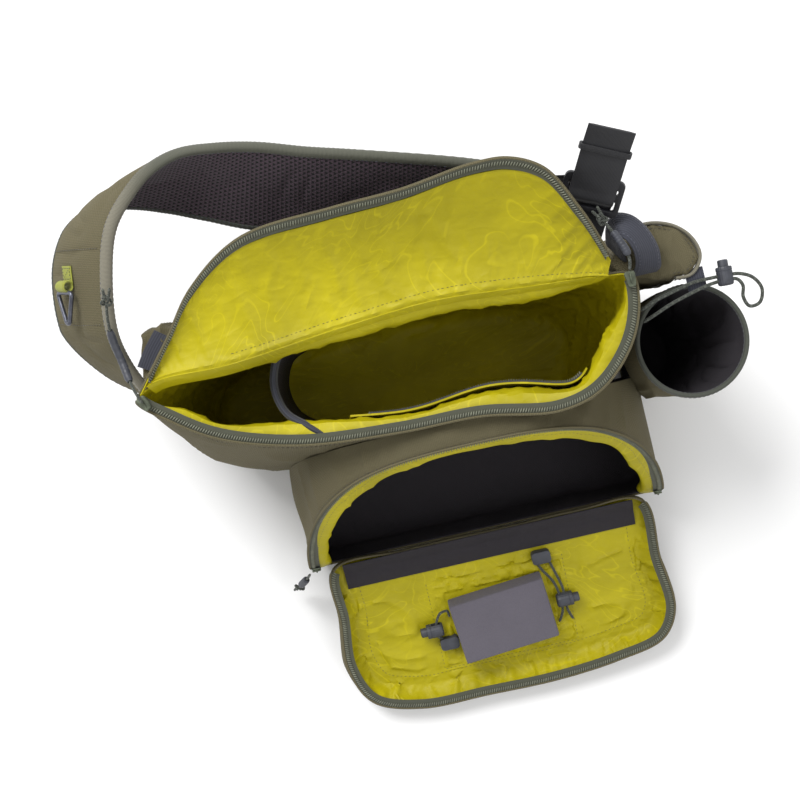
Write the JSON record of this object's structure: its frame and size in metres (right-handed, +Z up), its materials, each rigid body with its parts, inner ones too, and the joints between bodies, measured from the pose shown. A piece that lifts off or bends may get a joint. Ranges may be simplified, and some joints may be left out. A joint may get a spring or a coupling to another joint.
{
  "type": "fishing tackle sling bag",
  "caption": "Soft shoulder sling bag for fishing tackle, upright, with a folded-back zipped lid, an open front pocket on a fold-down panel and a bottle pocket.",
  "frame": {"origin": "middle of the main compartment's flat base, on the floor", "axes": "+Z up, +X along the bag towards the bottle pocket, +Y towards the wearer's back, -Y towards the fold-down panel"},
  "size_m": [0.5985, 0.5341, 0.3055],
  "materials": {
    "olive_cloth": "woven nylon, matt",
    "lime_lining": "coated nylon, satin",
    "zipper_tape": "woven tape",
    "spacer_mesh": "open spacer mesh",
    "dark_cloth": "woven, matt",
    "slate_webbing": "ribbed webbing",
    "ripstop": "ripstop, satin",
    "foam": "closed-cell foam, matt",
    "pale_binding": "ribbed binding tape",
    "lime_webbing": "webbing",
    "black_webbing": "webbing, slight sheen",
    "black_plastic": "moulded",
    "grey_plastic": "moulded",
    "ring_metal": "satin",
    "slider_metal": "satin",
    "cord": "braided",
    "zipper_coil": "nylon coil",
    "thread": "stitching"
  },
  "bodies": {
    "bag": {"main_shell": "olive_cloth", "main_lining": "lime_lining", "mouth_zipper": "zipper_tape", "lid_shell": "olive_cloth", "lid_lining": "lime_lining", "lid_zipper": "zipper_tape", "back_pad": "spacer_mesh", "inner_sleeve": "dark_cloth", "sleeve_binding": "slate_webbing", "inner_zip_pocket": "ripstop", "pocket_shell": "olive_cloth", "pocket_facing": "lime_lining", "pocket_lining": "dark_cloth", "pocket_zipper": "zipper_tape", "panel_shell": "olive_cloth", "panel_lining": "lime_lining", "panel_zipper": "zipper_tape", "pocket_sleeve": "dark_cloth", "foam_block": "foam", "bottle_pocket": "olive_cloth", "bottle_pocket_binding": "zipper_tape", "right_wing": "olive_cloth", "right_wing_binding": "pale_binding", "left_wing": "olive_cloth", "left_anchor_webbing": "slate_webbing", "grab_handle": "slate_webbing", "strap_shell": "olive_cloth", "strap_mesh": "spacer_mesh", "strap_binding_upper": "pale_binding", "strap_binding_lower": "pale_binding", "strap_tool_pad": "olive_cloth", "strap_tab": "lime_webbing", "d_ring": "ring_metal", "adjuster_webbing": "black_webbing", "ladder_lock": "black_plastic", "lock_loop": "black_webbing", "webbing_keeper": "black_webbing", "slider_left": "slider_metal", "slider_right": "slider_metal", "slider_pocket": "slider_metal", "slider_stop": "slider_metal", "pull_cord_left": "cord", "pull_cord_right": "cord", "pull_cord_pocket": "cord", "pull_grip_left": "grey_plastic", "pull_grip_right": "grey_plastic", "pull_grip_pocket": "grey_plastic", "bottle_cord": "cord", "bottle_cord_tab": "slate_webbing", "bottle_cord_lock": "grey_plastic", "tippet_cord_right": "cord", "tippet_cord_left": "cord", "tippet_tab_right": "grey_plastic", "tippet_tab_left": "grey_plastic", "tippet_lock_right": "grey_plastic", "tippet_lock_left": "grey_plastic"},
    "bottle_lock_button": {"bottle_cord_lock_button": "grey_plastic"},
    "right_lock_button": {"tippet_lock_right_button": "grey_plastic"},
    "left_lock_button": {"tippet_lock_left_button": "grey_plastic"}
  },
  "joints": [
    {"name": "bottle_lock_press", "type": "slide", "parent": "bag", "child": "bottle_lock_button", "axis": [0.0499, 0.9988, 0], "range_m": [-0.003, 0], "stiffness_N_per_m": 400},
    {"name": "right_lock_press", "type": "slide", "parent": "bag", "child": "right_lock_button", "axis": [1, 0, 0], "range_m": [-0.003, 0], "stiffness_N_per_m": 400},
    {"name": "left_lock_press", "type": "slide", "parent": "bag", "child": "left_lock_button", "axis": [-1, 0, 0], "range_m": [-0.003, 0], "stiffness_N_per_m": 400}
  ]
}
